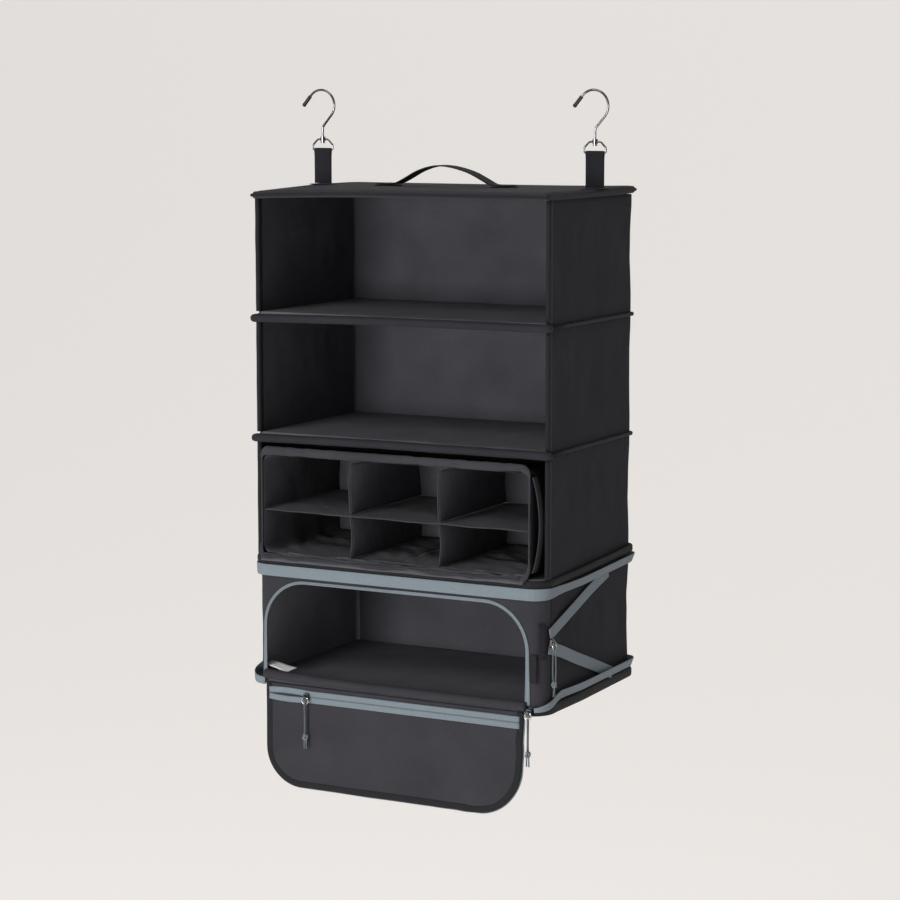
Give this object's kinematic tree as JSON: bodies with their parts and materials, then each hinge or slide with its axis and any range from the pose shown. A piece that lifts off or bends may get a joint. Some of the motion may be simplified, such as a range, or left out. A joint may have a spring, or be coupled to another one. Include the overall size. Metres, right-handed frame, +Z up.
{
  "type": "hanging packing cube",
  "caption": "Foldable hanging organiser that packs flat: open fabric shelves, a slide-out divided bin and a zipped bottom tier with a drop flap, hung from swivel hooks.",
  "frame": {"origin": "on the hanging rail, halfway between the two hooks, where the rail touches the inside of their crowns", "axes": "+X to the right seen from the front, +Y to the back, +Z up"},
  "size_m": [0.4419, 0.2827, 0.89],
  "materials": {
    "shell_fabric": "woven",
    "lining_fabric": "woven",
    "bin_fabric": "woven",
    "stiffener": "matte",
    "trim_tape": "ribbed",
    "webbing": "ribbed",
    "zipper_tape": "woven",
    "cord": "braided",
    "plated_wire": "polished",
    "slider_metal": "polished",
    "rubber_tip": "matte",
    "label_cloth": "satin"
  },
  "bodies": {
    "top": {"top_cover": "shell_fabric", "top_board": "stiffener", "top_piping": "trim_tape", "sewn_patches": "webbing", "tier_1_side_walls": "shell_fabric", "tier_1_back_wall": "shell_fabric", "tier_1_edge_bindings": "trim_tape"},
    "handle": {"carry_handle": "webbing"},
    "left_strap": {"left_strap": "webbing"},
    "right_strap": {"right_strap": "webbing"},
    "left_ring": {"left_ring": "plated_wire"},
    "right_ring": {"right_ring": "plated_wire"},
    "left_hook": {"left_hook": "plated_wire", "left_hook_tip": "rubber_tip"},
    "right_hook": {"right_hook": "plated_wire", "right_hook_tip": "rubber_tip"},
    "shelf_1": {"shelf_1_cover": "lining_fabric", "shelf_1_board": "stiffener", "shelf_1_piping": "trim_tape", "tier_2_side_walls": "shell_fabric", "tier_2_back_wall": "shell_fabric", "tier_2_edge_bindings": "trim_tape"},
    "shelf_2": {"shelf_2_cover": "lining_fabric", "shelf_2_board": "stiffener", "shelf_2_piping": "trim_tape", "tier_3_side_walls": "shell_fabric", "tier_3_back_wall": "shell_fabric", "tier_3_edge_bindings": "trim_tape"},
    "shelf_3": {"shelf_3_cover": "lining_fabric", "shelf_3_board": "stiffener", "shelf_3_binding": "trim_tape", "upper_zipper_tape": "zipper_tape"},
    "bin": {"bin_shell": "bin_fabric", "bin_shelf": "bin_fabric", "bin_dividers": "bin_fabric", "bin_rim": "bin_fabric"},
    "base": {"base_cover": "shell_fabric", "base_board": "stiffener", "base_binding": "trim_tape", "lower_zipper_tape": "zipper_tape", "tier_4_side_walls": "shell_fabric", "tier_4_back_wall": "shell_fabric", "front_panel": "shell_fabric", "front_zipper_tape": "zipper_tape", "sewn_labels": "label_cloth", "grip_tab": "trim_tape"},
    "flap": {"flap_panel": "shell_fabric", "flap_binding": "trim_tape", "flap_zipper_tape": "zipper_tape", "pocket_zipper_tapes": "zipper_tape"},
    "front_slider": {"front_slider": "slider_metal"},
    "front_pull": {"front_pull_ring": "slider_metal", "front_pull_cord": "cord"},
    "pocket_slider": {"pocket_slider": "slider_metal"},
    "pocket_pull": {"pocket_pull_ring": "slider_metal", "pocket_pull_cord": "cord"},
    "compression_slider": {"compression_slider": "slider_metal"},
    "compression_pull": {"compression_pull_ring": "slider_metal", "compression_pull_cord": "cord"}
  },
  "joints": [
    {"name": "handle_press", "type": "slide", "parent": "top", "child": "handle", "axis": [0, 0, 1], "range_m": [-0.022, 0], "deforming": ["carry_handle"]},
    {"name": "left_strap_fold", "type": "hinge", "parent": "top", "child": "left_strap", "pos_m": [-0.1955, 0, -0.1184], "axis": [1, 0, 0], "range_deg": [-60, 60]},
    {"name": "left_ring_swing", "type": "hinge", "parent": "left_strap", "child": "left_ring", "pos_m": [-0.1955, 0, -0.076], "axis": [1, 0, 0], "range_deg": [-25, 25]},
    {"name": "left_hook_swivel", "type": "hinge", "parent": "left_ring", "child": "left_hook", "pos_m": [-0.1955, 0, -0.062], "axis": [0, 0, 1], "continuous": true},
    {"name": "right_strap_fold", "type": "hinge", "parent": "top", "child": "right_strap", "pos_m": [0.1955, 0, -0.1184], "axis": [1, 0, 0], "range_deg": [-60, 60]},
    {"name": "right_ring_swing", "type": "hinge", "parent": "right_strap", "child": "right_ring", "pos_m": [0.1955, 0, -0.076], "axis": [1, 0, 0], "range_deg": [-25, 25]},
    {"name": "right_hook_swivel", "type": "hinge", "parent": "right_ring", "child": "right_hook", "pos_m": [0.1955, 0, -0.062], "axis": [0, 0, 1], "continuous": true},
    {"name": "tier_1_fold", "type": "slide", "parent": "top", "child": "shelf_1", "axis": [0, 0, -1], "range_m": [-0.12, 0], "deforming": ["tier_1_side_walls", "tier_1_back_wall", "tier_1_edge_bindings"]},
    {"name": "tier_2_fold", "type": "slide", "parent": "shelf_1", "child": "shelf_2", "axis": [0, 0, -1], "range_m": [-0.116, 0], "deforming": ["tier_2_side_walls", "tier_2_back_wall", "tier_2_edge_bindings"]},
    {"name": "tier_3_fold", "type": "slide", "parent": "shelf_2", "child": "shelf_3", "axis": [0, 0, -1], "range_m": [-0.12, 0], "deforming": ["tier_3_side_walls", "tier_3_back_wall", "tier_3_edge_bindings", "bin_shell", "bin_shelf", "bin_dividers", "bin_rim"]},
    {"name": "bin_slide", "type": "slide", "parent": "shelf_3", "child": "bin", "axis": [0, -1, 0], "range_m": [0, 0.2]},
    {"name": "tier_4_fold", "type": "slide", "parent": "shelf_3", "child": "base", "axis": [0, 0, -1], "range_m": [-0.11, 0], "deforming": ["tier_4_side_walls", "tier_4_back_wall", "front_panel", "front_zipper_tape", "lower_zipper_tape", "sewn_labels", "grip_tab", "upper_zipper_tape"]},
    {"name": "compression_slider_travel", "type": "slide", "parent": "shelf_3", "child": "compression_slider", "axis": [0, 0, -1], "range_m": [-0.055, 0]},
    {"name": "compression_pull_swing", "type": "hinge", "parent": "compression_slider", "child": "compression_pull", "pos_m": [0.2118, -0.144, -0.667], "axis": [0, -1, 0], "range_deg": [0, 75]},
    {"name": "flap_hinge", "type": "hinge", "parent": "base", "child": "flap", "pos_m": [-0.002, -0.1675, -0.752], "axis": [-1, 0, 0], "range_deg": [0, 178]},
    {"name": "front_slider_travel", "type": "slide", "parent": "base", "child": "front_slider", "axis": [0, 0, 1], "range_m": [0, 0.07]},
    {"name": "front_pull_swing", "type": "hinge", "parent": "front_slider", "child": "front_pull", "pos_m": [0.1885, -0.1694, -0.752], "axis": [-1, 0, 0], "range_deg": [0, 75]},
    {"name": "pocket_slider_travel", "type": "slide", "parent": "flap", "child": "pocket_slider", "axis": [1, 0, 0], "range_m": [-0.045, 0.27]},
    {"name": "pocket_pull_swing", "type": "hinge", "parent": "pocket_slider", "child": "pocket_pull", "pos_m": [-0.124, -0.1758, -0.7645], "axis": [-1, 0, 0], "range_deg": [0, 75]}
  ],
  "couplings": [
    {"joint": "compression_slider_travel", "follows": "tier_4_fold", "ratio": 0.5}
  ]
}
